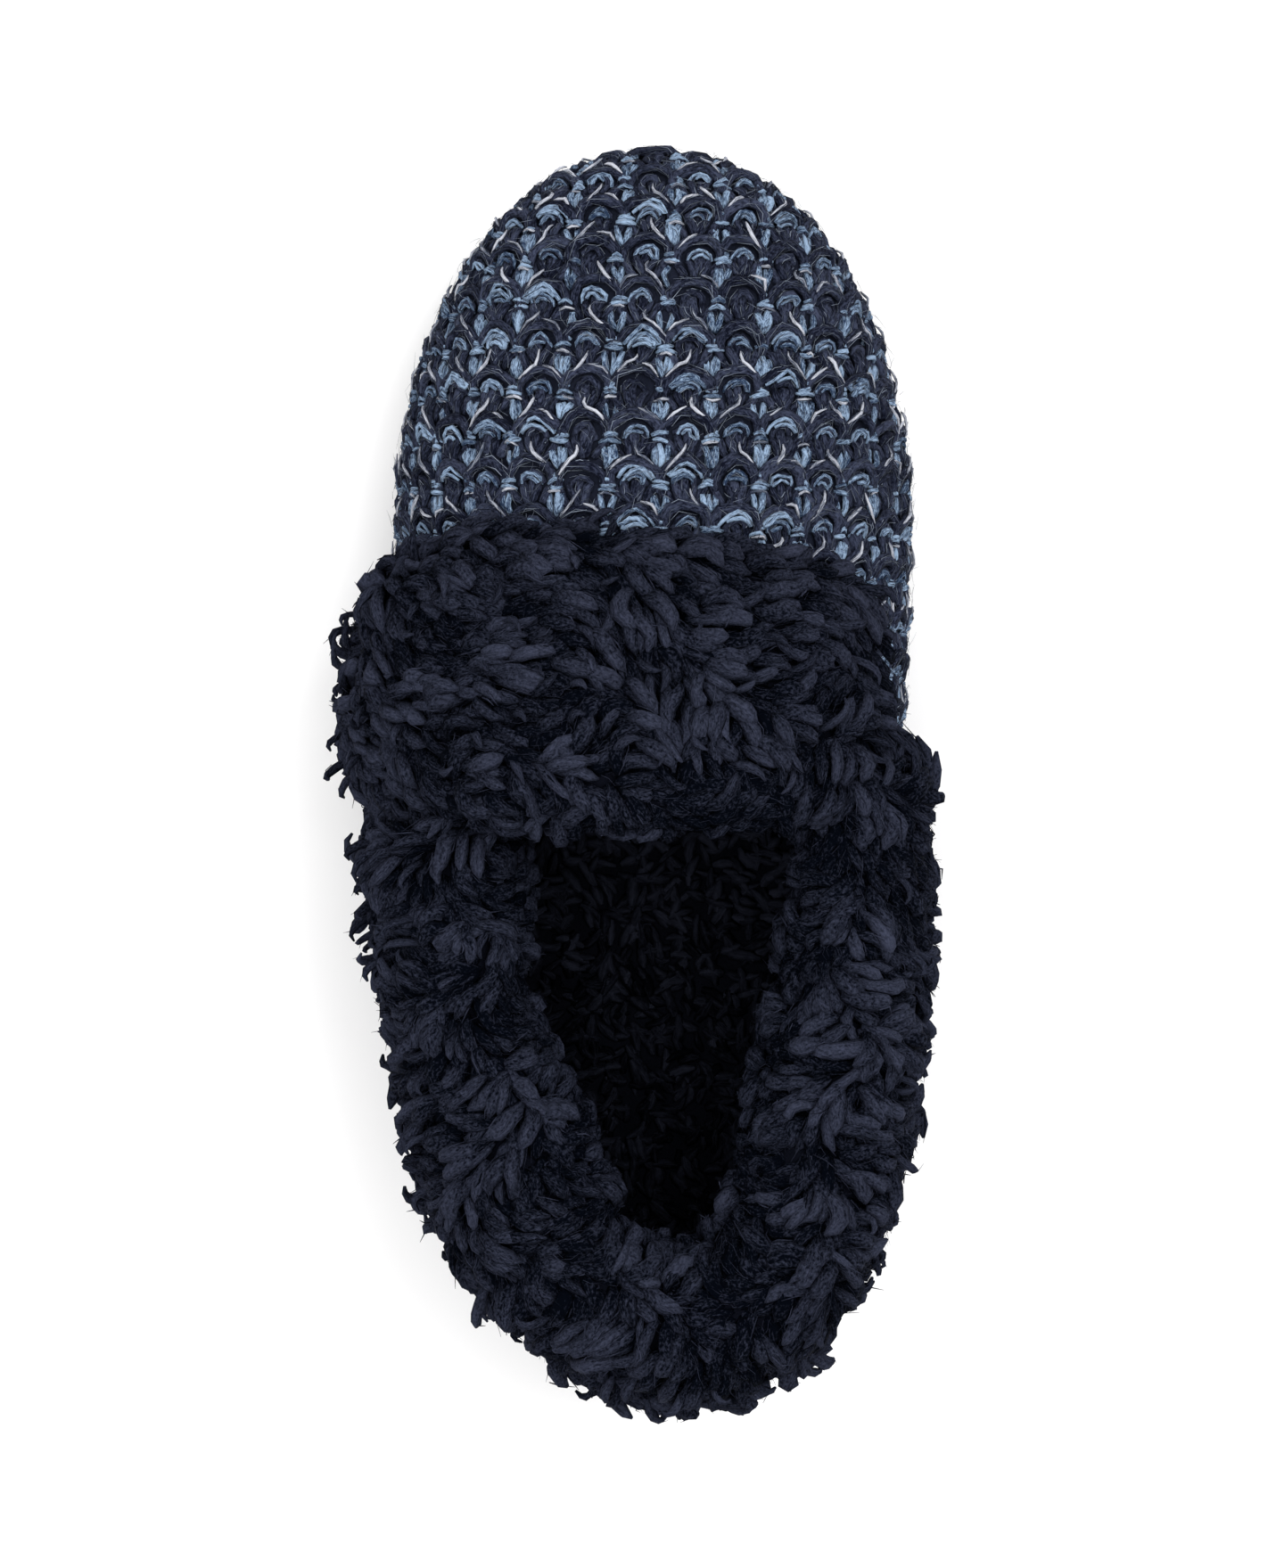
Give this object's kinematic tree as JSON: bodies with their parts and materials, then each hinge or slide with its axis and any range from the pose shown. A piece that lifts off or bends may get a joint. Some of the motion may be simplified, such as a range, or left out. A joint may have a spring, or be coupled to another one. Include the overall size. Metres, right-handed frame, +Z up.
{
  "type": "knitted slipper",
  "caption": "Right house slipper: round-toed chunky knit upper on a flat moulded sole, with a deep-pile cuff folded over the vamp and turned down round the collar.",
  "frame": {"origin": "on the floor under the middle of the slipper's box", "axes": "+Y towards the toe, +X towards the outer side of the right foot, +Z up"},
  "size_m": [0.1312, 0.2776, 0.1111],
  "materials": {
    "sole_rubber": "matt moulded rubber, charcoal",
    "insole_fleece": "short dense fleece, midnight navy",
    "marled_knit": "chunky knit of navy and light blue marled yarn",
    "pile": "deep curly pile in soft locks, midnight navy"
  },
  "bodies": {
    "root": {"outsole": "sole_rubber", "insole": "insole_fleece", "upper": "marled_knit", "collar_cuff": "pile", "vamp_cuff": "pile"}
  },
  "joints": []
}
